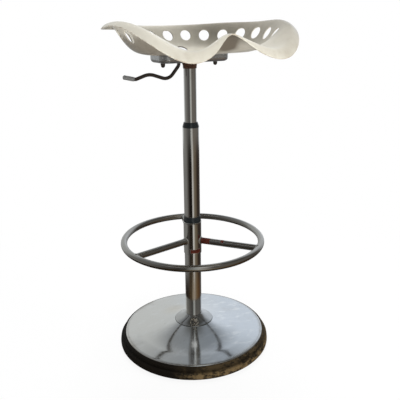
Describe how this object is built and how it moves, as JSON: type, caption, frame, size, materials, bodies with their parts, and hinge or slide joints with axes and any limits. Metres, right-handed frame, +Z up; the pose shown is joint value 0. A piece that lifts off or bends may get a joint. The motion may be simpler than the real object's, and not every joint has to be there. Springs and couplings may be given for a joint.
{
  "type": "adjustable stool",
  "caption": "Tall swivel stool: pierced pressed-metal saddle seat on a gas lift column with release lever, round foot rest and round weighted base.",
  "frame": {"origin": "on the floor, in the axis of the column", "axes": "+Z up along the column, -Y towards the front of the seat (the pommel side), +X to the right of one who looks at the front from -Y; the release lever points to -X"},
  "size_m": [0.4288, 0.4144, 0.8195],
  "materials": {
    "cream_enamel": "glossy aged enamel, worn at the edges",
    "chrome_tube": "polished chrome plate with fine scratches and small rust spots",
    "polished_dish": "mirror-polished spun sheet, slightly clouded",
    "tarnished_steel": "dull darkened steel",
    "rusted_steel": "rust-brown, matte",
    "bright_steel": "turned steel",
    "browned_steel": "browned steel, satin",
    "zinc_fastener": "zinc-plated, tarnished",
    "cast_weight": "black stove paint",
    "black_rubber": "matte, worn",
    "black_plastic": "moulded, satin",
    "grey_plastic": "soft grey"
  },
  "bodies": {
    "base": {"base_ring": "black_rubber", "base_weight": "cast_weight", "base_cover": "polished_dish", "column_cover": "polished_dish", "column_flange": "bright_steel", "flange_bolts": "zinc_fastener", "outer_column": "chrome_tube", "guide_bush": "black_plastic", "footrest_sleeve": "chrome_tube", "footrest_liner": "black_plastic", "footrest_screws": "zinc_fastener", "footrest_spokes": "chrome_tube", "footrest_ring": "chrome_tube", "lower_race": "bright_steel", "bearing_cage": "black_plastic", "bearing_rollers": "bright_steel"},
    "rod": {"upper_race": "bright_steel", "piston_rod": "chrome_tube", "rod_bumper": "black_rubber", "rod_clip": "bright_steel", "rod_washer": "bright_steel", "piston": "bright_steel", "piston_ring": "black_rubber"},
    "seat": {"gas_cylinder": "chrome_tube", "pressure_tube": "bright_steel", "rod_guide": "bright_steel", "rod_seal": "black_rubber", "valve_body": "bright_steel", "cone_socket": "rusted_steel", "seat_bracket": "tarnished_steel", "bracket_gasket": "black_rubber", "bracket_spacers": "zinc_fastener", "pivot_ears": "tarnished_steel", "pivot_pin": "bright_steel", "pivot_rings": "bright_steel", "seat_bolts": "zinc_fastener", "seat_washers": "zinc_fastener", "dome_nuts": "browned_steel", "seat_pan": "cream_enamel"},
    "lever": {"release_lever": "browned_steel", "lever_grip": "grey_plastic"},
    "valve_pin": {"release_pin": "bright_steel"}
  },
  "joints": [
    {"name": "swivel", "type": "hinge", "parent": "base", "child": "rod", "pos_m": [0, 0, 0.033], "axis": [0, 0, 1], "continuous": true},
    {"name": "lift", "type": "slide", "parent": "rod", "child": "seat", "axis": [0, 0, 1], "range_m": [-0.115, 0.07]},
    {"name": "lever_pull", "type": "hinge", "parent": "seat", "child": "lever", "pos_m": [-0.0205, 0, 0.742], "axis": [0, 1, 0], "range_deg": [0, 8], "stiffness_Nm_per_rad": 0.8, "springref_deg": -6.88},
    {"name": "pin_press", "type": "slide", "parent": "seat", "child": "valve_pin", "axis": [0, 0, -1], "range_m": [0, 0.0033]}
  ],
  "couplings": [
    {"joint": "pin_press", "follows": "lever_pull", "m_per_rad": 0.0214}
  ]
}
